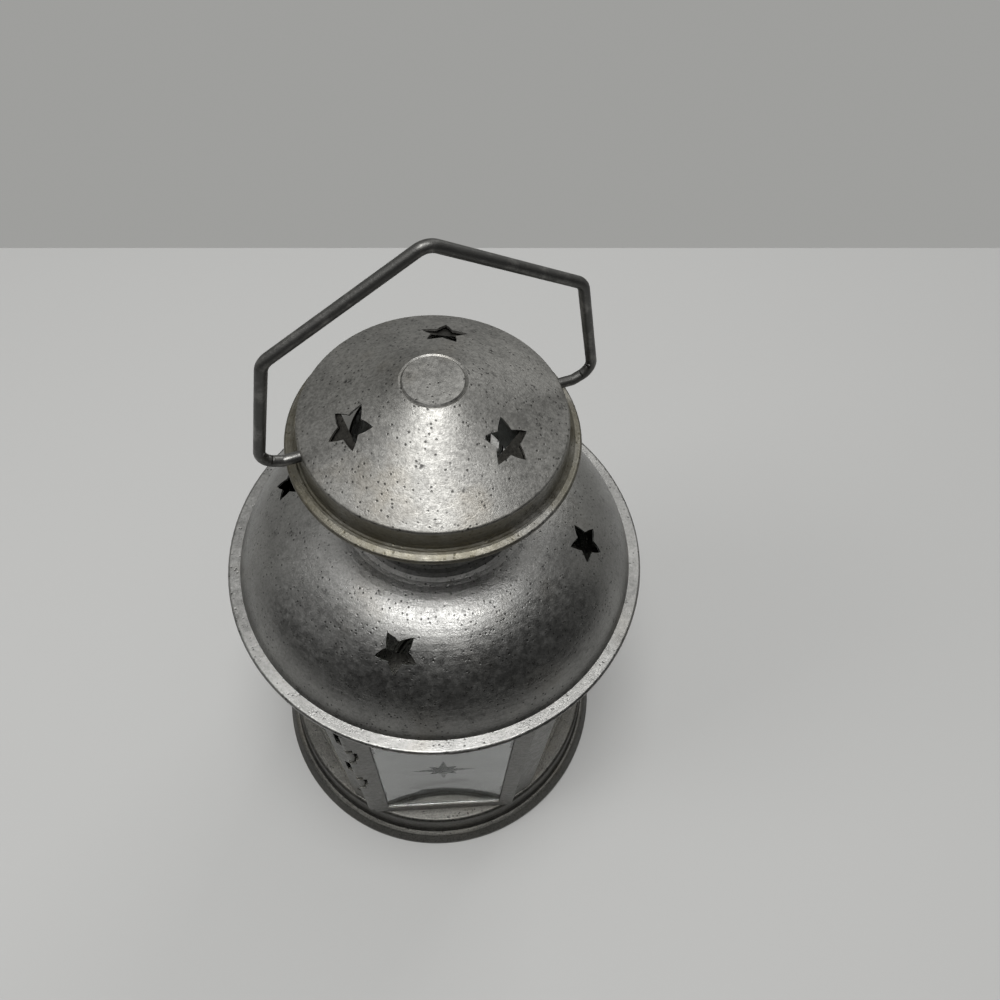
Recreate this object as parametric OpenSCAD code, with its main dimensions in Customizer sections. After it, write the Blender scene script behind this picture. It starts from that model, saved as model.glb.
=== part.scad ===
// Punched tin lantern for a tealight: a stamped foot, a six-sided glazed body with a hinged
// glass door, a round shade and a vented cap, both punched with stars, and a wire bail.
// The origin is on the floor under the middle of the foot. The door faces -Y.

/* [Materials] */
// Thickness of the steel sheet
sheet = 0.6; // [0.4:0.1:0.8]
// Thickness of the window glass
glass_t = 2; // [1.4:0.2:2.4]
// Radial running clearance of a wire in its hole or knuckle
wire_clear = 0.06; // [0.03:0.01:0.1]

/* [Foot] */
// Radius of the foot on the floor
foot_r = 65.6; // [64:0.2:75]
// Width of the flat hem that rests on the floor
hem_w = 3.4; // [2:0.2:5]
// Height of the stepped ring around the foot
ring_h = 5.9; // [4:0.1:9]
// Radius of the upper wall of the foot at its top edge
platform_r = 60.5; // [60.4:0.1:61.5]
// Height of the platform that the body stands on
platform_h = 17.3; // [14:0.1:24]
// Rounding of the platform's edge
platform_round = 1.5; // [0.8:0.1:2.5]

/* [Tealight cup] */
// Inner radius of the cup that keeps the tealight in the middle
cup_r = 20.2; // [19.5:0.1:24]
// Height of the cup
cup_h = 4.6; // [3:0.2:9]

/* [Body] */
// Distance from the axis to the outside of each glazed side
body_af = 54; // [50:0.5:54]
// Width of the narrow strip at each corner
corner_w = 11.7; // [11:0.1:12.2]
// Height of the body from the platform to the plate above it
body_h = 113.7; // [90:0.1:150]
// Width of the flanges folded inwards at the top and bottom of the body
flange_w = 4; // [3:0.5:7]
// Width of each window
window_w = 42.6; // [30:0.2:42.8]
// Height of the sill below each window
sill_h = 8; // [6:0.5:14]
// Height of the strip above each window
head_h = 7; // [6:0.5:14]
// Overlap of a pane behind the edge of its window
pane_lap = 1.5; // [1.2:0.1:1.6]
// Height of the lower small hole in each corner strip above the platform
peep_h = 16; // [8:1:30]
// Radius of that hole
peep_r = 1.2; // [0.8:0.1:1.6]

/* [Door] */
// Distance that the door stands in front of the body
door_proud = 1.4; // [1.2:0.1:2.4]
// Width of the door's frame beside the glass
door_stile = 5.2; // [4.8:0.1:5.6]
// Gap between the door and the body
door_gap = 0.25; // [0.2:0.05:0.4]
// Space left above and below the door
door_end_gap = 1.3; // [1:0.1:2]
// Radius of the hinge rod
rod_r = 0.7; // [0.5:0.05:0.8]
// Height of the lower hinge knuckle above the platform
knuckle_low = 52; // [36:1:54]
// Height of the upper hinge knuckle above the platform
knuckle_high = 86; // [76:1:90]
// Length of each hinge knuckle
knuckle_len = 8; // [5:0.5:10]
// Width of the window that is left where a knuckle's tongue was cut from the corner
tongue_slot_w = 5.4; // [4:0.1:6]
// Length of that window
tongue_slot_len = 11.6; // [10.5:0.1:16]

/* [Shade] */
// Radius of the shade's rolled rim
rim_r = 63; // [62.2:0.1:72]
// Radius of the roll in the rim
rim_roll = 0.9; // [0.8:0.05:1.2]
// Radius where the flat rim turns up into the dome
dome_r = 59.3; // [57:0.1:60]
// Radius of the dome's curve
dome_curve = 39.6; // [39:0.1:46]
// Height of the top of the dome above the rim's flat
dome_rise = 27.1; // [24:0.1:30]
// Radius of the neck on top of the dome
neck_r = 22; // [20:0.2:24]
// Radius of the hollow between dome and neck
neck_fillet = 5; // [3:0.2:6]
// Height of the neck above the hollow
neck_h = 1; // [0.8:0.1:4]
// Distance of the stars from the axis
shade_star_r = 43.5; // [38:0.5:48]
// Direction of the first star in the shade, in degrees from +X
shade_star_turn = 255; // [225:1:285]
// Number of stars in the shade
shade_stars = 4; // [2:1:6]

/* [Stars] */
// Radius of each star from its middle to its points
star_r = 6.05; // [4:0.05:7]
// Radius of the inner corners as a part of the star's radius
star_waist = 0.53; // [0.4:0.01:0.6]
// Swelling of each arm's edge as a part of the star's radius
star_swell = 0.025; // [0:0.005:0.04]

/* [Chimney] */
// Height of the chimney's tube above the top of the dome
chimney_h = 29.7; // [26:0.1:34]
// Number of vents around the chimney
vents = 24; // [12:1:28]
// Width of each vent
vent_w = 4; // [2:0.1:4.2]
// Height of each vent
vent_h = 6; // [4:0.5:18]
// Width of each of the three tabs that carry the cap, one behind each of its stars
tab_w = 12; // [6:0.5:13]

/* [Cap] */
// Radius of the cap's rolled rim
cap_rim_r = 36.3; // [35.8:0.1:42]
// Radius of the roll in the cap's rim
cap_roll = 0.8; // [0.6:0.05:1]
// Radius at the crease above the cap's band
crease_r = 32.6; // [31:0.1:33]
// Height of the crease above the cap's rolled rim
band_h = 6.4; // [6:0.1:8]
// Height of the cone above the crease
cone_h = 12.7; // [10:0.1:16]
// Radius of the flat disc on top
disc_r = 7.5; // [5:0.1:10]
// Height of the cap's rolled rim above the top of the dome
cap_lift = 32.7; // [31:0.1:38]
// Distance of the cap's stars from the axis
cap_star_r = 20.6; // [18:0.2:22]
// Direction of the first star in the cap, in degrees from +X
cap_star_turn = 202.2; // [180:0.2:240]
// Number of stars in the cap
cap_stars = 3; // [2:1:4]

/* [Bail] */
// Diameter of the bail's wire
wire_d = 2.7; // [2:0.1:3]
// Direction of the bail's axis, in degrees from +X
bail_turn = 18.2; // [0:0.2:40]
// Backward lean of the bail as it stands
bail_lean = 2; // [0:0.5:10]
// Height of the bail's axis below the crease of the cap
pivot_drop = 1.5; // [1.4:0.1:2]
// Half of the width across the bail's lower corners
corner_x = 41.6; // [41:0.1:48]
// Height of the lower corners above the axis
corner_up = 2.3; // [1.5:0.1:4]
// Half of the width across the bail's shoulders
shoulder_x = 35.1; // [30:0.1:40]
// Height of the shoulders above the axis
shoulder_up = 31.5; // [26:0.1:40]
// Height of the bail's peak above the axis
peak_up = 51.2; // [46:0.1:60]
// Radius of the wire's bends along its middle
bend_r = 4.2; // [3:0.1:4.5]
// Radius of the flattened head inside the cap at each end
head_r = 2.1; // [1.8:0.1:2.4]

/* [Hidden] */
round_fn = 96;
small_fn = 32;
over = 1;
side_turn = 60;
// Body outline: glazed sides and corner strips
half_side = body_af*tan(30) - corner_w/2/cos(30);
corner_af = body_af*cos(30) + half_side*sin(30);
body_z = platform_h;
body_top = body_z + body_h;
window_z = body_z + sill_h;
window_top = body_top - head_h;
pane_half = window_w/2 + pane_lap;
pane_z = window_z - pane_lap;
pane_h = window_top - window_z + 2*pane_lap;
pane_play = 0.15;
clip_h = 6;
clip_reach = 3;
clip_low = 18;
shelf_half = 5;
// Door
door_front = body_af + door_proud;
door_half = window_w/2 + door_stile;
door_z = body_z + door_end_gap;
door_h = body_h - 2*door_end_gap;
doorway_half = pane_half + pane_play + sheet + 0.45;
doorway_z = pane_z - 2.6;
doorway_h = pane_h + 5.2;
door_back = body_af + door_gap;
// Hinge: the rod's axis stands so far out that its rolls clear the corner strip
roll_r = rod_r + wire_clear + sheet;
roll_clear = 0.33;
hinge_y = -(door_front - roll_r);
hinge_x = -2*(corner_af + roll_r + roll_clear + hinge_y*cos(30));
rod_end_gap = 3.5;
knuckles = [body_z + knuckle_low, body_z + knuckle_high];
roll_gap = 4;
notch_gap = 0.5;
// Catch
catch_h = 8;
catch_z = body_z + 62;
catch_t = 0.5;
catch_half = 4.4;
tongue_depth = 4.2;
// Plate above the body
plate_z = body_top;
rim_z = plate_z + sheet;
plate_r = rim_r - 2*rim_roll - 0.2;
plate_hole_r = 36;
// Dome: one arc from the flat rim to the hollow under the neck
dome_mid_z = rim_z + sheet + dome_rise - dome_curve;
dome_mid_r = dome_r - sqrt(pow(dome_curve, 2) - pow(rim_z + sheet - dome_mid_z, 2));
dome_top = dome_mid_z + dome_curve;
hollow_r = neck_r + neck_fillet;
hollow_z = dome_mid_z + sqrt(pow(dome_curve + neck_fillet, 2) - pow(hollow_r - dome_mid_r, 2));
hollow_turn = asin((hollow_r - dome_mid_r)/(dome_curve + neck_fillet));
foot_turn = asin((dome_r - dome_mid_r)/dome_curve);
shade_star_tilt = asin((shade_star_r - dome_mid_r)/dome_curve);
shade_star_z = dome_mid_z + dome_curve*cos(shade_star_tilt);
neck_top = hollow_z + neck_h;
// Chimney
fit = 0.05;
chimney_r = neck_r - sheet - fit;
chimney_z = neck_top - 9;
chimney_top = dome_top + chimney_h;
vent_z = neck_top + 0.6;
vent_len = min(vent_h, chimney_top - vent_z - 2.5);
// Cap
cap_rim_z = dome_top + cap_lift;
crease_z = cap_rim_z + band_h;
band_r = crease_r + 0.5;
crease_round = 0.9;
cone_slope = atan(cone_h/(crease_r - disc_r));
crease_drop = crease_round*(1 - sin(cone_slope))/cos(cone_slope);
cap_top = crease_z + cone_h;
cap_star_z = crease_z + (crease_r - cap_star_r)*tan(cone_slope);
groove = 0.45;
// Bail
wire_r = wire_d/2;
pivot_z = crease_z - pivot_drop;
ankle_x = cap_rim_r + 0.3;
heel_x = band_r - sheet - 3;
head_t = 0.8;
ankle_bend = 2.5;
bail_grip = 2.5;
bend_steps = 6;
star_cut = 8;
tab_reach = 6;

function unit(v) = v/norm(v);
function left_of(a, b) = let (d = unit(b - a)) [-d[1], d[0]];
// A line of points moved sideways by a distance, with mitred corners
function moved(pts, d) = [for (i = [0:len(pts) - 1])
    let (j = max(i, 1), k = min(i, len(pts) - 2),
         n = left_of(pts[j - 1], pts[j]) + left_of(pts[k], pts[k + 1]))
    pts[i] + 2*d*n/(n*n)];
function backwards(pts) = [for (i = [len(pts) - 1:-1:0]) pts[i]];
// A line of points thickened to its left
function wall(pts, t) = concat(pts, backwards(moved(pts, t)));
function arc(mid, r, a0, a1, n) = [for (i = [0:n]) let (a = a0 + (a1 - a0)*i/n)
    mid + r*[cos(a), sin(a)]];
// Outline of the body, grown or shrunk by a distance
function outline(grow) = [for (k = [0:5], s = [-1, 1])
    let (a = -90 + side_turn*k, f = body_af + grow,
         h = (corner_af + grow - f*cos(30))/sin(30))
    [f*cos(a) - s*h*sin(a), f*sin(a) + s*h*cos(a)]];
// Outline of a star: each arm has its point, an inner corner before and two swollen
// stations on each edge
function star_ring(r) = [for (k = [0:4], s = [-1, 1])
    let (a = 90 + 72*k, tip = r*[cos(a), sin(a)],
         waist = r*star_waist*[cos(a + 36*s), sin(a + 36*s)],
         out = r*star_swell*[cos(a + 61*s), sin(a + 61*s)],
         low = mix(waist, tip, 0.35) + out, high = mix(waist, tip, 0.7) + 0.8*out)
    each (s < 0 ? [waist, low, high, tip] : [high, low])];
function mix(a, b, t) = a + (b - a)*t;

// A star-shaped punch, one point towards -Y, along Z
module star_punch() {
    rotate([0, 0, 180])
        translate([0, 0, -star_cut/2])
            linear_extrude(star_cut)
                polygon(star_ring(star_r));
}

// Stars around the axis on a surface that slopes down by tilt, each with a point downhill
module star_circle(count, turn, r, z, tilt) {
    for (i = [0:count - 1])
        rotate([0, 0, turn + 360*i/count])
            translate([r, 0, z])
                rotate([0, tilt, 0])
                    rotate([0, 0, 90])
                        star_punch();
}

// A block in the frame of one side of the body: x along the side, y outwards is negative
module block(x0, x1, y0, y1, z0, z1) {
    translate([x0, y0, z0])
        cube([x1 - x0, y1 - y0, z1 - z0]);
}

module base() {
    edge = arc([platform_r - platform_round, platform_h - platform_round],
               platform_round, 10, 90, 6);
    step_r = platform_r + 1.4;
    color("#8c8d88")
        rotate_extrude($fn = round_fn)
            polygon(wall(concat(
                [[foot_r - hem_w, 0], [foot_r - 0.6, 0], [foot_r, 0.7], [foot_r - 0.2, 1.8],
                 [step_r + 1.9, ring_h - 1], [step_r + 1.4, ring_h - 0.25],
                 [step_r + 0.7, ring_h], [step_r, ring_h - 0.05],
                 [step_r - 0.6, ring_h + 0.5], [platform_r + 0.4, ring_h + 1.6]],
                edge, [[0, platform_h]]), sheet));
}

module tealight_cup() {
    outer = cup_r + sheet;
    color("#9a9b97")
        rotate_extrude($fn = round_fn)
            polygon(wall([[0, platform_h], [outer - 1, platform_h], [outer, platform_h + 0.8],
                          [outer + 0.3, platform_h + cup_h - 0.6],
                          [outer + 1.2, platform_h + cup_h]], sheet));
}

// Two bent clips on each edge of a pane and a shelf under it, behind a flat side
module pane_clips(y_front, y_glass) {
    y_lip = y_glass + glass_t;
    x_leg = pane_half + pane_play;
    for (s = [-1, 1], z = [pane_z + clip_low, pane_z + pane_h - clip_low - clip_h])
        mirror([s < 0 ? 1 : 0, 0, 0]) {
            block(x_leg, x_leg + sheet, y_front, y_lip + sheet, z, z + clip_h);
            block(x_leg + sheet - clip_reach, x_leg + sheet, y_lip, y_lip + sheet, z, z + clip_h);
        }
    block(-shelf_half, shelf_half, y_front, y_lip, pane_z - pane_play - sheet,
          pane_z - pane_play);
}

// Where the hinge's rod stands
module at_hinge() {
    translate([hinge_x, hinge_y, 0])
        children();
}

module body_wall() {
    difference() {
        translate([0, 0, body_z])
            linear_extrude(body_h)
                polygon(outline(0));
        translate([0, 0, body_z + sheet])
            linear_extrude(body_h - 2*sheet)
                polygon(outline(-sheet));
        translate([0, 0, body_z - over])
            linear_extrude(body_h + 2*over)
                polygon(outline(-flange_w));
        for (k = [1:5])
            rotate([0, 0, side_turn*k])
                block(-window_w/2, window_w/2, -body_af - over, -body_af + sheet + over,
                      window_z, window_top);
        block(-doorway_half, doorway_half, -body_af - over, -body_af + sheet + over,
              doorway_z, doorway_z + doorway_h);
        for (k = [0:5])
            rotate([0, 0, side_turn*(k - 0.5)])
                translate([-2.4, -corner_af, body_z + peep_h])
                    rotate([90, 0, 0])
                        cylinder(h = 6, r = peep_r, center = true, $fn = small_fn);
    }
}

// Position of the knuckles' root on the corner strip, measured along the strip
knuckle_s = hinge_x*cos(30) - hinge_y*sin(30);
root_x = knuckle_s - roll_r;

module body_shell() {
    color("#8a8b87")
        difference() {
            union() {
                difference() {
                    body_wall();
                    for (z = knuckles)
                        rotate([0, 0, -side_turn/2])
                            block(root_x - tongue_slot_w, root_x, -corner_af - over,
                                  -corner_af + sheet + over, z - tongue_slot_len/2,
                                  z + tongue_slot_len/2);
                }
                for (k = [1:5])
                    rotate([0, 0, side_turn*k])
                        pane_clips(-body_af + sheet/2, -body_af + sheet);
                for (z = knuckles) {
                    at_hinge()
                        translate([0, 0, z - knuckle_len/2])
                            cylinder(h = knuckle_len, r = roll_r, $fn = small_fn);
                    rotate([0, 0, -side_turn/2])
                        block(root_x, root_x + sheet, -corner_af - roll_r - roll_clear,
                              -corner_af + sheet, z - knuckle_len/2, z + knuckle_len/2);
                }
            }
            for (z = knuckles)
                at_hinge()
                    translate([0, 0, z - knuckle_len])
                        cylinder(h = 2*knuckle_len, r = rod_r + wire_clear, $fn = small_fn);
        }
}

module pane(turn) {
    color("#b9c4c1", 0.35)
        rotate([0, 0, turn])
            block(-pane_half, pane_half, -body_af + sheet, -body_af + sheet + glass_t,
                  pane_z, pane_z + pane_h);
}

// Heights between which each roll of the door wraps the rod
function door_rolls() = let (z0 = door_z + rod_end_gap + 1, z1 = door_z + door_h - rod_end_gap - 1,
                             d = knuckle_len/2 + roll_gap)
    [[z0, knuckles[0] - d], [knuckles[0] + d, knuckles[1] - d], [knuckles[1] + d, z1]];

module door_frame() {
    glass_front = -door_front + sheet;
    color("#8f908c")
        difference() {
            union() {
                difference() {
                    block(-door_half, door_half, -door_front, -door_back, door_z, door_z + door_h);
                    block(-door_half + sheet, door_half - sheet, glass_front, 0,
                          door_z + sheet, door_z + door_h - sheet);
                    block(-window_w/2, window_w/2, -door_front - over, 0, window_z, window_top);
                }
                pane_clips(glass_front - sheet/2, glass_front);
                block(pane_half + pane_play, pane_half + pane_play + catch_t,
                      glass_front - sheet/2, glass_front + tongue_depth,
                      catch_z, catch_z + catch_h);
                for (z = door_rolls()) {
                    at_hinge()
                        translate([0, 0, z[0]])
                            cylinder(h = z[1] - z[0], r = roll_r, $fn = small_fn);
                    block(hinge_x, -door_half + sheet, -door_front, glass_front, z[0], z[1]);
                }
            }
            at_hinge()
                translate([0, 0, door_z])
                    cylinder(h = door_h, r = rod_r + fit/2, $fn = small_fn);
            for (z = knuckles)
                block(-door_half - over, -door_half + sheet + notch_gap, -door_front - over, 0,
                      z - knuckle_len/2 - notch_gap, z + knuckle_len/2 + notch_gap);
        }
}

module door_pane() {
    color("#b9c4c1", 0.35)
        block(-pane_half, pane_half, -door_front + sheet, -door_front + sheet + glass_t,
              pane_z, pane_z + pane_h);
}

module hinge_rod() {
    color("#6f706d")
        at_hinge()
            translate([0, 0, door_z + rod_end_gap])
                cylinder(h = door_h - 2*rod_end_gap, r = rod_r, $fn = small_fn);
}

// A bent spring leaf welded inside the corner strip beside the door's free edge
module door_catch() {
    color("#767774")
        rotate([0, 0, side_turn/2]) {
            y = -corner_af + sheet;
            block(-catch_half, catch_half, y, y + catch_t, catch_z, catch_z + catch_h);
            block(-catch_half, -catch_half + catch_t, y, y + 2.8, catch_z, catch_z + catch_h);
        }
}

module top_plate() {
    color("#858682")
        translate([0, 0, plate_z])
            difference() {
                cylinder(h = sheet, r = plate_r, $fn = round_fn);
                translate([0, 0, -over])
                    cylinder(h = sheet + 2*over, r = plate_hole_r, $fn = round_fn);
            }
}

module shade() {
    flat_z = rim_z + sheet;
    dome = arc([dome_mid_r, dome_mid_z], dome_curve, 90 - foot_turn, 90 - hollow_turn, 24);
    hollow = arc([hollow_r, hollow_z], neck_fillet, 270 - hollow_turn, 180, 6);
    color("#8e8f8b")
        difference() {
            union() {
                rotate_extrude($fn = round_fn)
                    polygon(wall(concat([[rim_r - rim_roll, flat_z]], dome,
                                        [for (i = [1:len(hollow) - 1]) hollow[i]],
                                        [[neck_r, neck_top]]), sheet));
                rotate_extrude($fn = round_fn)
                    translate([rim_r - rim_roll, flat_z - rim_roll])
                        circle(rim_roll, $fn = small_fn);
            }
            star_circle(shade_stars, shade_star_turn, shade_star_r, shade_star_z,
                        shade_star_tilt);
        }
}

// Height of the cap's underside above a point at radius r and sideways offset w
function cone_under(r, w) = crease_z + (crease_r - norm([r, w]))*tan(cone_slope)
    - sheet/cos(cone_slope);

// One tab: up from the tube's wall and bent outwards along the underside of the cap
module cap_tab() {
    inner = chimney_r - sheet;
    outer = inner + tab_reach;
    top_in = cone_under(inner, tab_w/2) - fit;
    top_out = cone_under(outer, tab_w/2) - fit;
    leaf = sheet/cos(cone_slope);
    rotate([90, 0, 0])
        translate([0, 0, -tab_w/2])
            linear_extrude(tab_w)
                polygon([[inner + 0.1, chimney_top - over], [chimney_r - 0.1, chimney_top - over],
                         [chimney_r - 0.1, top_in - leaf - sheet*tan(cone_slope)],
                         [outer, top_out - leaf], [outer, top_out], [inner + 0.1, top_in]]);
}

// A slotted tube pushed up through the neck, with three tabs that carry the cap
module chimney() {
    color("#83847f")
        difference() {
            union() {
                difference() {
                    translate([0, 0, chimney_z])
                        cylinder(h = chimney_top - chimney_z, r = chimney_r, $fn = round_fn);
                    translate([0, 0, chimney_z - over])
                        cylinder(h = chimney_top - chimney_z + 2*over, r = chimney_r - sheet,
                                 $fn = round_fn);
                }
                for (i = [0:2])
                    rotate([0, 0, cap_star_turn + 120*i])
                        cap_tab();
            }
            for (i = [0:vents - 1])
                rotate([0, 0, 360*(i + 0.5)/vents])
                    translate([chimney_r - 2, -vent_w/2, vent_z])
                        cube([4, vent_w, vent_len]);
        }
}

module cap() {
    flat_z = cap_rim_z + 0.2;
    crease = arc([crease_r - crease_round, crease_z - crease_drop], crease_round, 0,
                 90 - cone_slope, 5);
    color("#90918d")
        difference() {
            union() {
                rotate_extrude($fn = round_fn)
                    polygon(wall(concat(
                        [[cap_rim_r - cap_roll, flat_z], [band_r + 1.5, flat_z + 0.25],
                         [band_r + 1, flat_z + 0.55], [band_r + 0.6, flat_z + 0.4],
                         [band_r + 0.2, flat_z + 0.7], [band_r, flat_z + 1.2]],
                        crease,
                        [[disc_r + groove, cap_top - groove*tan(cone_slope)],
                         [disc_r, cap_top - groove], [disc_r - groove, cap_top],
                         [0, cap_top]]), sheet));
                rotate_extrude($fn = round_fn)
                    translate([cap_rim_r - cap_roll, flat_z - cap_roll])
                        circle(cap_roll, $fn = small_fn);
            }
            star_circle(cap_stars, cap_star_turn, cap_star_r, cap_star_z, cone_slope);
            rotate([0, 0, bail_turn])
                translate([0, 0, pivot_z])
                    rotate([0, 90, 0])
                        cylinder(h = 2*(band_r + 2), r = wire_r + wire_clear, center = true,
                                 $fn = small_fn);
        }
}

// Corners of the bail from one straight end to the other, and the radius of each bend
bail_line = [[ankle_x - bail_grip, 0], [ankle_x, 0], [corner_x, corner_up],
             [shoulder_x, shoulder_up], [0, peak_up], [-shoulder_x, shoulder_up],
             [-corner_x, corner_up], [-ankle_x, 0], [-ankle_x + bail_grip, 0]];
bail_bends = [0, ankle_bend, bend_r, bend_r, bend_r, bend_r, bend_r, ankle_bend, 0];
bail_last = len(bail_line) - 1;
function heading(i) = let (d = bail_line[i + 1] - bail_line[i]) atan2(d[1], d[0]);
function bail_turn_at(i) = let (a = heading(i) - heading(i - 1)) a < 0 ? a + 360 : a;
// Places along a bend with the wire's heading at each
function bend_rings(i) = let (a = bail_turn_at(i), r = bail_bends[i], h = heading(i - 1),
    start = bail_line[i] - r*tan(a/2)*[cos(h), sin(h)], mid = start + r*[-sin(h), cos(h)])
    [for (k = [0:bend_steps]) let (b = h + a*k/bend_steps)
        [mid[0] + r*sin(b), mid[1] - r*cos(b), b]];
bail_rings = concat([[bail_line[0][0], 0, 0]],
                    [for (i = [1:bail_last - 1]) each bend_rings(i)],
                    [[bail_line[bail_last][0], 0, 0]]);

// The bent wire: one ring of corners at each place, joined side by side
module bent_wire(rings, r, sides) {
    n = len(rings);
    points = [for (p = rings, k = [0:sides - 1]) let (a = 360*k/sides)
        [p[0] - r*cos(a)*sin(p[2]), p[1] + r*cos(a)*cos(p[2]), r*sin(a)]];
    faces = concat([[for (k = [0:sides - 1]) k]],
                   [for (i = [0:n - 2], k = [0:sides - 1]) let (m = (k + 1)%sides)
                       [i*sides + k, (i + 1)*sides + k, (i + 1)*sides + m, i*sides + m]],
                   [[for (k = [sides - 1:-1:0]) (n - 1)*sides + k]]);
    polyhedron(points = points, faces = faces, convexity = 6);
}

module bail() {
    color("#5f605d")
        rotate([0, 0, bail_turn])
            translate([0, 0, pivot_z])
                rotate([90 - bail_lean, 0, 0]) {
                    bent_wire(bail_rings, wire_r - 0.01, 16);
                    for (s = [-1, 1])
                        rotate([0, s*90, 0]) {
                            translate([0, 0, heel_x])
                                cylinder(h = ankle_x - heel_x, r = wire_r, $fn = small_fn);
                            translate([0, 0, heel_x - head_t])
                                cylinder(h = head_t, r = head_r, $fn = small_fn);
                        }
                }
}

base();
tealight_cup();
body_shell();
pane(side_turn);  // pane_right_front
pane(2*side_turn);  // pane_right_back
pane(3*side_turn);  // pane_back
pane(4*side_turn);  // pane_left_back
pane(5*side_turn);  // pane_left_front
door_frame();
door_pane();
hinge_rod();
door_catch();
top_plate();
shade();
chimney();
cap();
bail();
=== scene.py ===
# %% [markdown]
# A punched tin lantern for one tealight. The solids of the construction model are the
# frame: this file gives each of them its finish, and adds the pieces whose surface needs
# more than a solid has, which are the bent wire and the frosted stars on the glass.
# All lengths are in metres, so MM turns the millimetres of a tinsmith's drawing into them.

# %% Load the frame
import math

import bpy
import numpy as np
from mathutils import Matrix, Vector


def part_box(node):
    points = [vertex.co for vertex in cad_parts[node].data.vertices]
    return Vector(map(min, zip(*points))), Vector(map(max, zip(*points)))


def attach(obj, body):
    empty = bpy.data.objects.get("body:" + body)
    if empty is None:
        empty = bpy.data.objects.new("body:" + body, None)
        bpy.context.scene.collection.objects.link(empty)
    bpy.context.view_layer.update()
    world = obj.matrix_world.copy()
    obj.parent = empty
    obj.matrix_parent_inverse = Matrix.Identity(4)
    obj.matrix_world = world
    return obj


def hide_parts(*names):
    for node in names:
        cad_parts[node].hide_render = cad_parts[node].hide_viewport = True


MM = 0.001
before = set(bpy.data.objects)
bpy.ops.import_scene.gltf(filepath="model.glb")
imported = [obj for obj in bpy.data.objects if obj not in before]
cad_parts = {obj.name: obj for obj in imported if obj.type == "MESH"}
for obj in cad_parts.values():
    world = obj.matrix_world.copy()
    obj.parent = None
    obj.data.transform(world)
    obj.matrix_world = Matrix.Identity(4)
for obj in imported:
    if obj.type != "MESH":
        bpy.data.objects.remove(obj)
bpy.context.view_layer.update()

# %% [markdown]
# The camera stands close in front of the lantern and looks steeply down on it. Its place
# could be found by trial, but round things give it away: foot, shade and cap look like
# ellipses that grow towards the lens, and only one place and one lens fit all three.

# %% Camera
CAMERA_PLACE = Vector((0.0, -0.1175, 0.3505))
CAMERA_HEADING = math.radians(8.64)
CAMERA_DOWN = math.radians(58.21)
CAMERA_ROLL = math.radians(5.91)
FOCAL_PIXELS = 800.0
IMAGE_PIXELS = 1000.0
SENSOR_WIDTH = 36.0
NEAREST_SEEN = 5*MM


def camera_axes():
    """Right, up and forward of the camera: heading turns forward from +Y towards +X, down
    tilts it below the horizon, and roll turns right and up about it."""
    heading, down = CAMERA_HEADING, CAMERA_DOWN
    forward = Vector((math.sin(heading)*math.cos(down), math.cos(heading)*math.cos(down),
                      -math.sin(down)))
    level = Vector((math.cos(heading), -math.sin(heading), 0.0))
    upright = level.cross(forward)
    right = math.cos(CAMERA_ROLL)*level + math.sin(CAMERA_ROLL)*upright
    up = -math.sin(CAMERA_ROLL)*level + math.cos(CAMERA_ROLL)*upright
    return right, up, forward


def make_camera():
    """A camera with the photograph's lens, whose columns are right, up and backward."""
    right, up, forward = camera_axes()
    lens = bpy.data.cameras.new("camera")
    lens.sensor_width = SENSOR_WIDTH
    lens.lens = FOCAL_PIXELS/IMAGE_PIXELS*SENSOR_WIDTH
    lens.clip_start = NEAREST_SEEN
    camera = bpy.data.objects.new("camera", lens)
    turn = Matrix((right, up, -forward)).transposed()
    camera.matrix_world = Matrix.Translation(CAMERA_PLACE) @ turn.to_4x4()
    bpy.context.scene.collection.objects.link(camera)
    bpy.context.scene.camera = camera
    return camera


camera = make_camera()
print("camera:", tuple(camera.matrix_world.translation), "lens", camera.data.lens, "mm")


def floor_point(column, row):
    """Where the ray through an image point meets the floor, z = 0."""
    right, up, forward = camera_axes()
    across, below = column - IMAGE_PIXELS/2, row - IMAGE_PIXELS/2
    ray = forward + right*across/FOCAL_PIXELS - up*below/FOCAL_PIXELS
    return CAMERA_PLACE - ray*(CAMERA_PLACE.z/ray.z)


# %% [markdown]
# A material is a small tree of nodes. It could be wired by hand in the shader editor, but a
# few helpers keep such a tree short to write: one adds a node and sets its sockets, one
# mixes two colours, one makes a noise pattern at a size given in millimetres, so that a
# speck of half a millimetre is asked for as 0.5.

# %% Node helpers
def new_material(name):
    """An empty node material with its output node, and the node tree."""
    material = bpy.data.materials.new(name)
    material.use_nodes = True
    tree = material.node_tree
    tree.nodes.clear()
    output = tree.nodes.new("ShaderNodeOutputMaterial")
    return material, tree, output


def add(tree, kind, **sockets):
    """A node of that kind; each keyword is an input's name with spaces as underscores."""
    node = tree.nodes.new("ShaderNode" + kind)
    for key, value in sockets.items():
        socket = node.inputs[key.replace("_", " ")]
        if isinstance(value, bpy.types.NodeSocket):
            tree.links.new(value, socket)
        else:
            socket.default_value = value
    return node


def place(tree):
    """The Object coordinates, in metres."""
    return tree.nodes.new("ShaderNodeTexCoord").outputs["Object"]


def noise(tree, size_mm, detail=4.0, rough=0.5, where=None):
    """A soft random pattern whose lumps are about size_mm across, from 0 to 1."""
    node = add(tree, "TexNoise", Vector=where or place(tree), Scale=1/(size_mm*MM),
               Detail=detail, Roughness=rough)
    return node.outputs["Fac"]


def cells(tree, size_mm, where):
    """The distance to the nearest of many scattered points about size_mm apart, which is
    0 at a point and grows to about 0.5 between them."""
    node = add(tree, "TexVoronoi", Vector=where, Scale=1/(size_mm*MM), Randomness=1.0)
    return node.outputs["Distance"]


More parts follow.
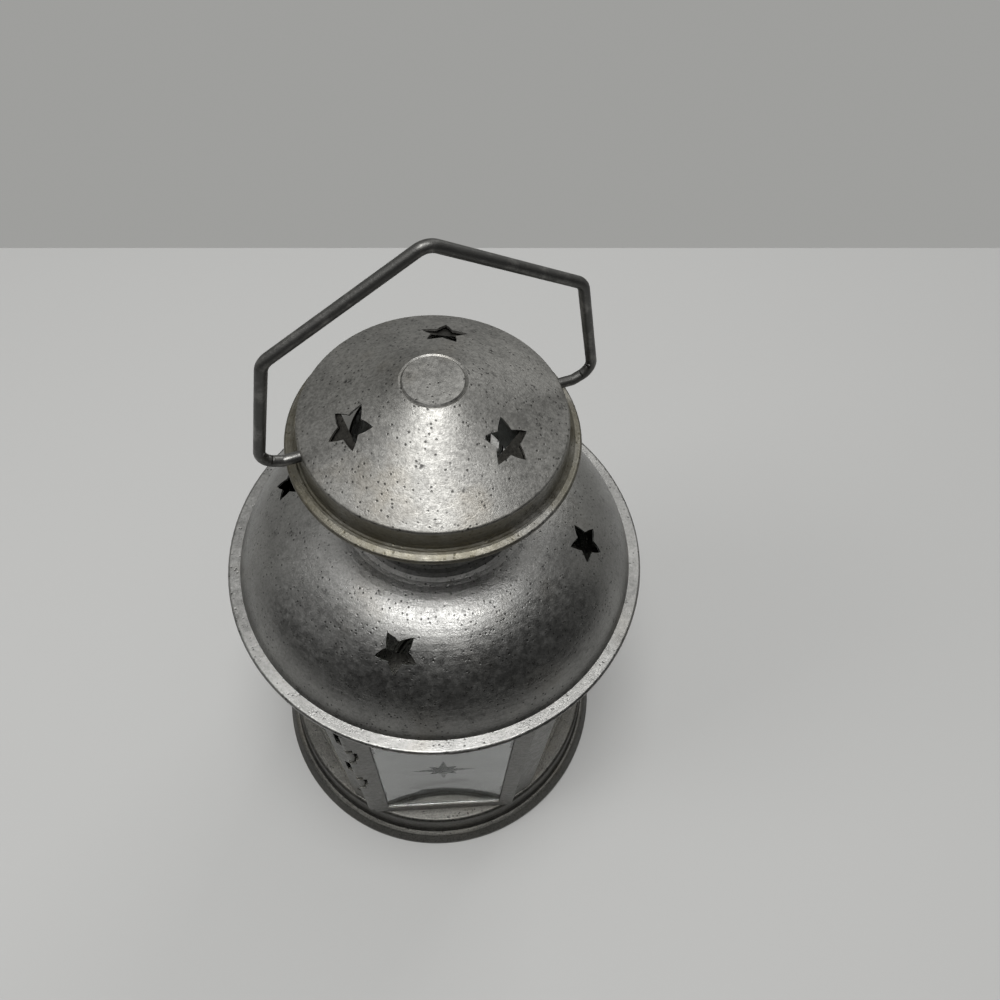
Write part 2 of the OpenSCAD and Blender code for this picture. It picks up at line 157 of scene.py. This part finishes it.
def band(tree, value, low, high, to_low=0.0, to_high=1.0):
    """value between low and high, stretched to run from to_low to to_high and clamped."""
    node = add(tree, "MapRange", Value=value, From_Min=low, From_Max=high,
               To_Min=to_low, To_Max=to_high)
    node.interpolation_type = "SMOOTHSTEP"
    return node.outputs["Result"]


def math_node(tree, operation, a, b):
    """a and b joined by a Math node's operation."""
    node = tree.nodes.new("ShaderNodeMath")
    node.operation = operation
    for socket, value in zip(node.inputs, (a, b)):
        if isinstance(value, bpy.types.NodeSocket):
            tree.links.new(value, socket)
        else:
            socket.default_value = value
    return node.outputs[0]


def product(tree, first, *others):
    """The first value times each of the others."""
    for other in others:
        first = math_node(tree, "MULTIPLY", first, other)
    return first


def blend(tree, share, a, b):
    """Colour a where share is 0 and colour b where it is 1; either may be a socket."""
    node = tree.nodes.new("ShaderNodeMix")
    node.data_type = "RGBA"
    tree.links.new(share, node.inputs["Factor"])
    for socket, value in ((node.inputs[6], a), (node.inputs[7], b)):
        if isinstance(value, bpy.types.NodeSocket):
            tree.links.new(value, socket)
        else:
            socket.default_value = (*value, 1.0)
    return node.outputs[2]


def toned(colour, factor):
    """The colour times the factor, with no channel over 1."""
    return tuple(min(1.0, channel*factor) for channel in colour)


# %% [markdown]
# Zinc-coated sheet is a metal with a dull skin. Three things make it look like one: slow
# clouds of lighter and darker zinc, a fine grain that breaks every reflection up, and
# pinholes and stains where the coating has worn. A photograph wrapped round the part
# would do it too, but noise in object space has no seams and stays sharp close up.

# %% Zinc: its colour
CLOUD_MM = 18.0
CRYSTAL_MM = 1.8
SPECK_MM = 0.75
GRAIN_MM = 0.45
TARNISH_MM = 30.0


def zinc_colour(tree, where, colour, crystals, patches, speckle, tarnish):
    """Slow clouds between a dark and a light tone, then lighter and darker crystals and
    specks as strong as speckle, then ochre where patches is high, as strong as tarnish."""
    clouds = noise(tree, CLOUD_MM, 6.0, 0.62, where)
    specks = noise(tree, SPECK_MM, 2.0, 0.6, where)
    ochre = (colour[0]*0.86, colour[1]*0.72, colour[2]*0.50)
    shade = blend(tree, band(tree, clouds, 0.34, 0.68), toned(colour, 0.80),
                  toned(colour, 1.16))
    for pattern, start, end, share, tone in (
            (crystals, 0.46, 0.74, 0.55*speckle, toned(colour, 1.45)),
            (crystals, 0.46, 0.28, 0.65*speckle, toned(colour, 0.55)),
            (specks, 0.50, 0.66, 0.55*speckle, toned(colour, 1.5)),
            (specks, 0.50, 0.34, 0.70*speckle, toned(colour, 0.42)),
            (patches, 0.52, 0.72, 1.8*tarnish, ochre)):
        shade = blend(tree, band(tree, pattern, start, end, 0.0, share), shade, tone)
    return shade


# %% [markdown]
# Wear comes on top of the colour. Pinholes are dots a third of a millimetre wide, so they
# are taken from scattered points and not from noise, which has no round dots. Stains are
# the same dots, larger and torn at the edge. Grime gathers low in the cap's groove, and
# round the neck a painted shadow darkens the shade where the cap's shadow falls: one goes
# by height, one by the distance from the lantern's axis. They could be painted by hand, but
# a rule needs no painting.

# %% Zinc: its wear, and the painted shadow round the neck
PINHOLE_MM = 1.4
STAIN_MM = 5.0
CAP_SHADOW_EDGE = 4*MM
GRIME_EDGE = 1.5*MM


def pinholes(tree, where):
    """1 inside small round dots, only where a slower noise is high, and 0 elsewhere."""
    chance = noise(tree, 6.0, 3.0, 0.6, where)
    return product(tree, band(tree, cells(tree, PINHOLE_MM, where), 0.26, 0.12),
                   band(tree, chance, 0.41, 0.52))


def stains(tree, where):
    """1 inside larger dots, torn by a fine noise and gathered by a slow one."""
    ragged = noise(tree, 0.9, 4.0, 0.7, where)
    gathered = noise(tree, 16.0, 3.0, 0.6, where)
    return product(tree, band(tree, cells(tree, STAIN_MM, where), 0.30, 0.12),
                   band(tree, ragged, 0.44, 0.56), band(tree, gathered, 0.46, 0.60))


def groove_grime(tree, axes, patches, top):
    """1 below the height top where patches is high, and 0 from the height top upwards."""
    low = band(tree, axes["Z"], top, top - GRIME_EDGE)
    return product(tree, band(tree, patches, 0.30, 0.55), low, 0.75)


def cap_shadow_paint(tree, axes, radius):
    """The painted shadow of the cap: nearly 1 nearer to the upright axis than radius, where
    the distance is the length of the vector (x, y, 0)."""
    flat = add(tree, "CombineXYZ", X=axes["X"], Y=axes["Y"])
    reach = tree.nodes.new("ShaderNodeVectorMath")
    reach.operation = "LENGTH"
    tree.links.new(flat.outputs[0], reach.inputs[0])
    return band(tree, reach.outputs["Value"], radius, radius - CAP_SHADOW_EDGE, 0.0, 0.92)


# %% [markdown]
# The finish itself joins colour, wear, roughness and relief into one metal shader. Each
# sheet piece of the lantern gets its own: the foot and the body get a darker tone, painted
# shade for the shade under the dome and near the floor, shade and cap keep the lighter
# tone, and the chimney is painted near black as painted shade for the dark space under the
# cap.

# %% Zinc: the finish
RELIEF_DEPTH = 0.16*MM


def galvanised(name, colour, stain=0.3, tarnish=0.15, gloss=0.36, speckle=0.7,
               cap_shadow_radius=0.0, groove_top=0.0):
    """Zinc-coated steel: cloudy base colour, dark pinholes, stains and a grainy relief. A
    painted shadow of the cap darkens it nearer to the axis than the radius given for it, and
    ochre grime below groove_top."""
    material, tree, output = new_material(name)
    where = place(tree)
    crystals = noise(tree, CRYSTAL_MM, 5.0, 0.72, where)
    grain = noise(tree, GRAIN_MM, 3.0, 0.7, where)
    patches = noise(tree, TARNISH_MM, 4.0, 0.6, where)
    axes = add(tree, "SeparateXYZ", Vector=where).outputs
    holes = pinholes(tree, where)
    shade = zinc_colour(tree, where, colour, crystals, patches, speckle, tarnish)
    shade = blend(tree, product(tree, holes, 0.85), shade, toned(colour, 0.14))
    shade = blend(tree, product(tree, stains(tree, where), stain), shade, toned(colour, 0.20))
    if groove_top:
        shade = blend(tree, groove_grime(tree, axes, patches, groove_top), shade,
                      (colour[0]*0.36, colour[1]*0.325, colour[2]*0.22))
    # Painted shadow: the shade is darkened round its neck, where the cap's shadow falls.
    if cap_shadow_radius:
        shade = blend(tree, cap_shadow_paint(tree, axes, cap_shadow_radius), shade, toned(colour, 0.08))
    rough = band(tree, crystals, 0.3, 0.7, gloss - 0.05, gloss + 0.10)
    relief = math_node(tree, "ADD", product(tree, grain, 0.6), product(tree, crystals, 0.5))
    relief = math_node(tree, "SUBTRACT", relief, product(tree, holes, 0.6))
    bump = add(tree, "Bump", Height=relief, Strength=0.45, Distance=RELIEF_DEPTH)
    shader = add(tree, "BsdfPrincipled", Base_Color=shade, Roughness=rough,
                 Metallic=1.0, Normal=bump.outputs["Normal"])
    tree.links.new(shader.outputs[0], output.inputs["Surface"])
    return material


# The foot and the body get darker copies of the zinc than shade and cap: painted shade for
# the shade under the dome and by the floor.
PAINTED_SHADE_FOOT = galvanised("foot_painted_shade", (0.085, 0.083, 0.076), stain=0.4, tarnish=0.16)
PAINTED_SHADE_BODY = galvanised("body_painted_shade", (0.095, 0.093, 0.084), stain=0.5, tarnish=0.18)
# The shade is darkened round its neck as a painted shadow of the cap.
SHADE_STEEL = galvanised("shade_zinc", (0.25, 0.248, 0.238), stain=0.6, tarnish=0.08,
                         gloss=0.32, speckle=0.35, cap_shadow_radius=23.5*MM)
CAP_STEEL = galvanised("cap_zinc", (0.25, 0.246, 0.232), stain=1.0, tarnish=0.16, gloss=0.42,
                       speckle=0.55, groove_top=199*MM)
# The chimney's near-black tone is painted shade for the dark space under the cap.
PAINTED_SHADE_CHIMNEY = galvanised("chimney_painted_shade", (0.05, 0.048, 0.043), stain=0.5, tarnish=0.3)
ZINC = (PAINTED_SHADE_FOOT, PAINTED_SHADE_BODY, SHADE_STEEL, CAP_STEEL, PAINTED_SHADE_CHIMNEY)
print("zinc finishes:", [finish.name for finish in ZINC])

# %% [markdown]
# Window glass is clear, with a faint green depth. The panes are true plates, so a plain
# transmitting shader bends and mirrors the light as a real pane does; a see-through film
# would be quicker and look thinner. A slow waviness keeps the reflections from being
# perfect mirrors, and a little dust dulls them in places.

# %% Window glass
GLASS_TINT = (0.86, 0.90, 0.885)
GLASS_INDEX = 1.5
WAVE_DEPTH = 0.4*MM


def window_glass():
    """Clear glass with slightly wavy faces and a dusty roughness."""
    material, tree, output = new_material("pane_glass")
    where = place(tree)
    wave = noise(tree, 22.0, 2.0, 0.5, where)
    bump = add(tree, "Bump", Height=wave, Strength=0.25, Distance=WAVE_DEPTH)
    dust = band(tree, noise(tree, 3.0, 5.0, 0.7, where), 0.45, 0.8, 0.02, 0.12)
    shader = add(tree, "BsdfPrincipled", Roughness=dust, Normal=bump.outputs["Normal"])
    shader.inputs["Base Color"].default_value = (*GLASS_TINT, 1.0)
    shader.inputs["Transmission Weight"].default_value = 1.0
    shader.inputs["IOR"].default_value = GLASS_INDEX
    tree.links.new(shader.outputs[0], output.inputs["Surface"])
    return material


GLASS = window_glass()
print("glass finish:", GLASS.name, "with index", GLASS_INDEX)

# %% [markdown]
# The wire of the bail and of the hinge has lost its zinc and is dull dark steel. Streaks
# along it are paler and smoother where hands and hooks have rubbed. The same noise drives
# colour and roughness, so that a pale streak is also the one that shines.

# %% Worn wire
WIRE_DARK = (0.085, 0.084, 0.08)
WIRE_RUBBED = (0.17, 0.167, 0.158)
WIRE_FLECK = (0.05, 0.049, 0.046)
WIRE_RELIEF = 0.12*MM


def worn_wire():
    """Dull steel wire with paler streaks where the bends have rubbed bright."""
    material, tree, output = new_material("bail_wire")
    where = place(tree)
    streaks = noise(tree, 5.0, 5.0, 0.7, where)
    fine = noise(tree, 0.6, 3.0, 0.7, where)
    shade = blend(tree, band(tree, streaks, 0.46, 0.66), WIRE_DARK, WIRE_RUBBED)
    shade = blend(tree, band(tree, fine, 0.58, 0.72, 0.0, 0.6), shade, WIRE_FLECK)
    rough = band(tree, streaks, 0.3, 0.7, 0.50, 0.34)
    bump = add(tree, "Bump", Height=fine, Strength=0.4, Distance=WIRE_RELIEF)
    shader = add(tree, "BsdfPrincipled", Base_Color=shade, Roughness=rough, Metallic=0.9,
                 Normal=bump.outputs["Normal"])
    tree.links.new(shader.outputs[0], output.inputs["Surface"])
    return material


WIRE = worn_wire()
print("wire finish:", WIRE.name)

# %% [markdown]
# Each solid of the frame keeps its shape and gets the finish of the real piece. The pieces
# could be dressed one by one, but a table of names reads like a parts list, and whatever
# isn't in it is a pane of glass.

# %% Finishes of the frame's nodes
FINISH = {
    "base": PAINTED_SHADE_FOOT, "tealight_cup": PAINTED_SHADE_FOOT, "body_shell": PAINTED_SHADE_BODY,
    "door_frame": PAINTED_SHADE_BODY, "door_catch": PAINTED_SHADE_BODY, "top_plate": PAINTED_SHADE_BODY,
    "shade": SHADE_STEEL, "chimney": PAINTED_SHADE_CHIMNEY, "cap": CAP_STEEL,
    "hinge_rod": WIRE, "bail": WIRE,
}

for name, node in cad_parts.items():
    finish = FINISH.get(name, GLASS)
    if not node.material_slots:
        node.data.materials.append(finish)
    for material_slot in node.material_slots:
        material_slot.material = finish
print("finished nodes:", len(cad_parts))

# %% [markdown]
# Every pane carries a small frosted star, ground into the outside of the glass through a
# stencil. It could be a pattern in the glass's material, but as a film of its own, a
# fiftieth of a millimetre proud, it keeps crisp points and turns with its pane. The outline
# is a polar curve: sixteen corners whose radius steps between long, short and waist values.

# %% Frosted stars: film and outline
STAR_CORNERS = 16
STAR_HALF_WIDTH = 10.5*MM
STAR_HALF_HEIGHT = 12.0*MM
STAR_SHORT = 0.62
STAR_WAIST = 0.34
STAR_RISE = 78.8*MM
FILM = 0.02*MM
FROST_TINT = (0.42, 0.43, 0.42)


def frost_film():
    """Dusty white glass: mostly clear, with a rough scattering share in small grains."""
    material, tree, output = new_material("frost")
    where = place(tree)
    grains = noise(tree, 0.5, 3.0, 0.7, where)
    shader = add(tree, "BsdfPrincipled", Roughness=0.6,
                 Alpha=band(tree, grains, 0.3, 0.7, 0.10, 0.24))
    shader.inputs["Base Color"].default_value = (*FROST_TINT, 1.0)
    tree.links.new(shader.outputs[0], output.inputs["Surface"])
    return material


FROST = frost_film()


def star_outline():
    """Corner k of sixteen lies at k/16 of a turn. Its radius is 1 for every fourth, the
    short value halfway between those and the waist value at odd k; then the whole is
    scaled to the star's half width and half height."""
    k = np.arange(STAR_CORNERS)
    radius = np.where(k % 4 == 0, 1.0, np.where(k % 2 == 0, STAR_SHORT, STAR_WAIST))
    angle = k*2*np.pi/STAR_CORNERS
    return np.stack([radius*np.cos(angle)*STAR_HALF_WIDTH,
                     radius*np.sin(angle)*STAR_HALF_HEIGHT], axis=1)


print("star outline:", len(star_outline()), "corners")


# %% [markdown]
# A new piece is a mesh made from an array of points and a list of faces. It stays at the
# origin, unturned, as the frame's own solids do, and the film's faces point outwards, so
# that the star is a closed thin plate and not a lone sheet. The five fixed panes stand
# sixty degrees apart, so one star is turned round the axis five times.

# %% Frosted stars: on the panes
def turned(points, angle):
    """The points turned about the upright axis: x and y are mixed by the cosine and the
    sine of the angle, and z stays."""
    c, s = math.cos(angle), math.sin(angle)
    return points @ np.array([[c, s, 0], [-s, c, 0], [0, 0, 1]])


def add_mesh(name, points, faces, material, smooth=False):
    """A mesh object at the origin from an array of points and a list of faces."""
    mesh = bpy.data.meshes.new(name)
    mesh.from_pydata(points.tolist(), [], faces)
    mesh.materials.append(material)
    mesh.polygons.foreach_set("use_smooth", [smooth]*len(mesh.polygons))
    mesh.update()
    piece = bpy.data.objects.new(name, mesh)
    bpy.context.scene.collection.objects.link(piece)
    return piece


def frost_star(name, turn, distance, body):
    """The star's outline twice, FILM apart, closed by a rim, stood upright in front of a
    pane whose outside is distance from the axis, and turned about +Z with its pane."""
    flat = star_outline()
    count = len(flat)
    depths = np.repeat([-distance, -distance - FILM], count)
    points = np.column_stack([np.tile(flat[:, 0], 2), depths,
                              np.tile(flat[:, 1], 2) + STAR_RISE])
    points = turned(points, turn)
    ring = list(range(count))
    faces = [tuple(ring[::-1]), tuple(k + count for k in ring)]
    faces += [(k, (k + 1) % count, (k + 1) % count + count, k + count) for k in ring]
    star = add_mesh(name, points, faces, FROST)
    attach(star, body)


FIXED_PANES = ("right_front", "right_back", "back", "left_back", "left_front")
SIDE_TURN = math.radians(60)

door_pane_front = -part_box("door_pane")[0][1]
frost_star("frost_star_door", 0.0, door_pane_front, "door")
fixed_pane_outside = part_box("pane_back")[1][1]
for index, side in enumerate(FIXED_PANES):
    frost_star("frost_star_" + side, SIDE_TURN*(index + 1), fixed_pane_outside, "root")
print("frosted stars on", 1 + len(FIXED_PANES), "panes")

# %% [markdown]
# The bail is one length of wire: from a head inside the cap it passes the cap's hole, bends
# up, leans in, and meets its other half in a peak. The construction model sweeps it with
# flat sides, which is enough to carry it, so here the same bends are swept again as a round
# tube. A curve object with a bevel would do as well, but a grid of rings is simple to read:
# one direction runs along the wire, the other round it.

# %% Bail wire: its path
WIRE_RADIUS = 1.35*MM
PIVOT_HEIGHT = 196.9*MM
BAIL_TURN = math.radians(18.2)
BAIL_LEAN = math.radians(2.0)
HEEL = 29.5*MM
BAIL_CORNERS = np.array([[29.5, 0.0], [36.6, 0.0], [41.6, 2.3], [35.1, 31.5],
                         [0.0, 51.2]])*MM
BAIL_BENDS = np.array([2.5, 4.2, 4.2])*MM
PEAK_BEND = 4.2*MM
BEND_STEPS = 14
RING_SPACING = 1.2*MM


def bent_path(corners, bends):
    """Straight stretches joined by arcs: each inner corner is replaced by points on the
    circle of its bend radius that touches both stretches."""
    pieces = [corners[:1]]
    for before, corner, after, bend in zip(corners, corners[1:], corners[2:], bends):
        into = (corner - before)/np.linalg.norm(corner - before)
        out = (after - corner)/np.linalg.norm(after - corner)
        side = np.array([-into[1], into[0]])
        angle = np.arccos(np.clip(into @ out, -1, 1))
        start = corner - into*bend*np.tan(angle/2)
        steps = np.linspace(0, angle, BEND_STEPS)[:, None]
        pieces.append(start + bend*(np.sin(steps)*into + (1 - np.cos(steps))*side))
    pieces.append(corners[-1:])
    return np.concatenate(pieces)


def refine(path):
    """The path with extra points on long stretches, none further apart than
    RING_SPACING: both coordinates are read off again at more lengths along the path."""
    gaps = np.linalg.norm(np.diff(path, axis=0), axis=1)
    at = np.concatenate([[0], np.cumsum(gaps)])
    dense = np.concatenate([at, np.arange(0, at[-1], RING_SPACING)])
    dense = np.unique(np.round(dense, 7))
    return np.column_stack([np.interp(dense, at, path[:, 0]),
                            np.interp(dense, at, path[:, 1])])


print("bends in the bail:", 2*len(BAIL_BENDS) + 1)


# %% [markdown]
# A tube is a grid: ring after ring of points, and a four-sided face between each pair of
# neighbours. The order of a face's corners decides which side is outside, and a flat face
# with all of a ring's corners closes each end. The radius may differ from ring to ring,
# and that makes the flattened heads that keep the wire in the cap.

# %% Bail wire: its tube
RING_SIDES = 28
HEAD_LENGTHS = np.array([-0.8, -0.75, -0.05, 0.0])*MM
HEAD_RADII = np.array([1.9, 2.1, 2.1, 1.9])*MM


def tube(path, radii, sides):
    """Ring j lies round path point j, across the path's direction there: its points are
    the centre plus radius times (cos a times the normal plus sin a times the third axis).
    One flat face closes each end."""
    slope = np.gradient(path, axis=0)
    slope /= np.linalg.norm(slope, axis=1)[:, None]
    normal = np.column_stack([-slope[:, 1], slope[:, 0]])
    a = np.arange(sides)*2*np.pi/sides
    x = path[:, 0, None] + radii[:, None]*np.cos(a)*normal[:, 0, None]
    y = path[:, 1, None] + radii[:, None]*np.cos(a)*normal[:, 1, None]
    z = np.broadcast_to(radii[:, None]*np.sin(a), x.shape)
    points = np.stack([x, y, z], axis=-1).reshape(-1, 3)
    rings = len(path)
    i, k = np.meshgrid(np.arange(rings - 1), np.arange(sides), indexing="ij")
    m = (k + 1) % sides
    quads = np.stack([i*sides + k, i*sides + m, (i + 1)*sides + m, (i + 1)*sides + k], -1)
    faces = quads.reshape(-1, 4).tolist()
    faces.append(list(range(sides))[::-1])
    faces.append([(rings - 1)*sides + k for k in range(sides)])
    return points, faces


def loop_and_heads():
    """The half path and its mirror image make the loop; a head on each end is a short
    stretch with a larger radius. Gives the path and the radius at each of its points."""
    mirrored = BAIL_CORNERS[::-1][1:]*np.array([-1.0, 1.0])
    corners = np.concatenate([BAIL_CORNERS, mirrored])
    bends = np.concatenate([BAIL_BENDS, [PEAK_BEND], BAIL_BENDS[::-1]])
    path = refine(bent_path(corners, bends))
    head = np.column_stack([HEAD_LENGTHS + HEEL, np.zeros(len(HEAD_LENGTHS))])
    path = np.concatenate([head, path[1:-1], (head*[-1.0, 1.0])[::-1]])
    radii = np.full(len(path), WIRE_RADIUS)
    radii[:len(head)], radii[-len(head):] = HEAD_RADII, HEAD_RADII[::-1]
    return path, radii


def make_bail():
    """The flat loop's tube stood up, leant back by BAIL_LEAN, turned by BAIL_TURN about the
    upright axis and lifted to the height of the cap's holes."""
    path, radii = loop_and_heads()
    points, faces = tube(path, radii, RING_SIDES)
    up = np.array([0.0, math.sin(BAIL_LEAN), math.cos(BAIL_LEAN)])
    back = np.array([0.0, -math.cos(BAIL_LEAN), math.sin(BAIL_LEAN)])
    stood = np.outer(points[:, 0], [1.0, 0, 0]) + np.outer(points[:, 1], up)
    stood += np.outer(points[:, 2], back)
    stood = turned(stood, BAIL_TURN)
    stood[:, 2] += PIVOT_HEIGHT
    bail = add_mesh("bail_wire", stood, faces, WIRE, smooth=True)
    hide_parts("bail")
    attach(bail, "bail")
    print("bail:", len(points), "points")


make_bail()

# %% [markdown]
# The floor is pale and matt. It ends at a straight line behind the lantern, where the
# backdrop begins. A floor without end would be simpler, but then the line couldn't be put
# at a height in the picture: here two rays of the camera give the ends of that line.

# %% Floor
FLOOR_TONE = (0.47, 0.47, 0.46)
FLOOR_SIDE = 1.2
FLOOR_DEPTH = 0.80
HORIZON_ROW = 248
HORIZON_COLUMNS = (100, 900)


def make_floor():
    """A plane on z = 0 whose far edge is the line seen at row HORIZON_ROW."""
    left, right = (floor_point(column, HORIZON_ROW) for column in HORIZON_COLUMNS)
    along = (right - left).normalized()
    towards = Vector((along.y, -along.x, 0.0))
    middle = (left + right)/2
    corners = [middle - FLOOR_SIDE*along, middle + FLOOR_SIDE*along,
               middle + FLOOR_SIDE*along + FLOOR_DEPTH*towards,
               middle - FLOOR_SIDE*along + FLOOR_DEPTH*towards]
    mesh = bpy.data.meshes.new("floor")
    mesh.from_pydata([(c.x, c.y, 0.0) for c in corners], [], [(0, 3, 2, 1)])
    floor = bpy.data.objects.new("floor", mesh)
    bpy.context.scene.collection.objects.link(floor)
    material, tree, output = new_material("floor_paper")
    shader = add(tree, "BsdfPrincipled", Roughness=0.85)
    shader.inputs["Base Color"].default_value = (*FLOOR_TONE, 1.0)
    shader.inputs["Specular IOR Level"].default_value = 0.2
    tree.links.new(shader.outputs[0], output.inputs["Surface"])
    mesh.materials.append(material)
    print("floor: its far edge is", round(middle.length, 3), "m from the lantern")


make_floor()

# %% [markdown]
# The world is the studio's air. Its light grows from the horizon up, as under a broad soft
# window in the ceiling, but what the camera sees of it is a plain grey backdrop. Glass and
# metal mirror that same backdrop, so they look as if they stood in front of it. The Light
# Path node tells the rays apart.

# %% World
BACK_TONE = (0.345, 0.345, 0.335)
ZENITH_TONE = (0.85, 0.85, 0.85)
ZENITH_BAND = (0.60, 0.97)
LIGHT_BAND = (0.30, 0.95)
LOW_LIGHT, HIGH_LIGHT = 0.03, 0.50


def make_world():
    """Surroundings that brighten from the horizon up, for the light; the camera, the metal
    and the glass see the backdrop's own colour, which turns paler near the zenith."""
    world = bpy.data.worlds.new("studio")
    bpy.context.scene.world = world
    world.use_nodes = True
    tree = world.node_tree
    tree.nodes.clear()
    rays = tree.nodes.new("ShaderNodeLightPath").outputs
    height = add(tree, "SeparateXYZ", Vector=place(tree)).outputs["Z"]
    strength = band(tree, height, *LIGHT_BAND, LOW_LIGHT, HIGH_LIGHT)
    seen = math_node(tree, "MAXIMUM", rays["Is Camera Ray"], rays["Is Transmission Ray"])
    seen = math_node(tree, "MAXIMUM", seen, rays["Is Glossy Ray"])
    light = add(tree, "Background", Color=(1.0, 1.0, 1.0, 1.0), Strength=strength)
    zenith = band(tree, height, *ZENITH_BAND)
    backdrop = add(tree, "Background", Strength=1.0,
                   Color=blend(tree, zenith, BACK_TONE, ZENITH_TONE))
    mixed = tree.nodes.new("ShaderNodeMixShader")
    tree.links.new(seen, mixed.inputs[0])
    tree.links.new(light.outputs[0], mixed.inputs[1])
    tree.links.new(backdrop.outputs[0], mixed.inputs[2])
    output = tree.nodes.new("ShaderNodeOutputWorld")
    tree.links.new(mixed.outputs[0], output.inputs["Surface"])
    print("world:", world.name, "with", len(tree.nodes), "nodes")


make_world()

# %% [markdown]
# Bare metal has hardly a colour of its own: it shows what stands round it. A lantern shot
# in a pale box would look flat, so a dark curtain hangs round the front of the set, as
# product photographers do it, and the dome's front edge turns dark where it mirrors the
# cloth. Painting the dark edge onto the dome would stay put when the lantern is turned.

# %% Curtain
CURTAIN_RADIUS = 0.75
CURTAIN_TOP = 1.10
CURTAIN_STEPS = 24
CURTAIN_TONE = (0.05, 0.05, 0.05)


def make_curtain():
    """A dull dark half cylinder round the front of the set: angle runs from the left over
    the front to the right, height from the floor up. Only reflections show it."""
    angle, height = np.meshgrid(np.linspace(math.pi, 2*math.pi, CURTAIN_STEPS + 1),
                                [0.0, CURTAIN_TOP], indexing="ij")
    points = np.stack([CURTAIN_RADIUS*np.cos(angle), CURTAIN_RADIUS*np.sin(angle), height],
                      axis=-1).reshape(-1, 3)
    faces = [(2*k, 2*k + 1, 2*k + 3, 2*k + 2) for k in range(CURTAIN_STEPS)]
    material, tree, output = new_material("curtain_cloth")
    shader = add(tree, "BsdfPrincipled", Roughness=0.95)
    shader.inputs["Base Color"].default_value = (*CURTAIN_TONE, 1.0)
    tree.links.new(shader.outputs[0], output.inputs["Surface"])
    curtain = add_mesh("curtain", points, faces, material)
    curtain.visible_camera = False
    curtain.visible_transmission = False
    curtain.visible_diffuse = False
    curtain.visible_shadow = False
    print("curtain:", len(faces), "panels")


make_curtain()

# %% [markdown]
# Three square lamps light the set: a key nearly overhead, which draws the bright band on
# the dome and the cap, and weak lamps from the left and from behind, which keep the far
# sides readable. Their size makes the shadows soft.

# %% Lamps
LAMPS = (
    # name, place, what it faces, side of the square in metres, power in watts
    ("key", (-0.03, -0.14, 1.20), (0, 0, 0.12), 0.46, 9.0),
    ("fill", (-0.9, -0.2, 0.9), (0, 0, 0.1), 0.5, 3.0),
    ("back", (0.5, 0.8, 0.9), (0, 0, 0.12), 0.5, 2.5),
)


def make_lamp(name, place_at, aim, size, power):
    """A square soft lamp at place_at that faces aim."""
    lamp = bpy.data.lights.new(name, "AREA")
    lamp.size = size
    lamp.energy = power
    lamp_object = bpy.data.objects.new(name, lamp)
    turn = (Vector(aim) - Vector(place_at)).to_track_quat("-Z", "Y")
    lamp_object.matrix_world = Matrix.Translation(place_at) @ turn.to_matrix().to_4x4()
    bpy.context.scene.collection.objects.link(lamp_object)


for lamp_row in LAMPS:
    make_lamp(*lamp_row)
print("lamps:", len(LAMPS))

# %% [markdown]
# Blender can show a picture as film would, with soft highlights and muted tones. Here the
# Standard view is used, so that a colour comes out as it is written in a material.

# %% Colours as they are written
bpy.context.scene.view_settings.view_transform = "Standard"
print("view transform:", bpy.context.scene.view_settings.view_transform)
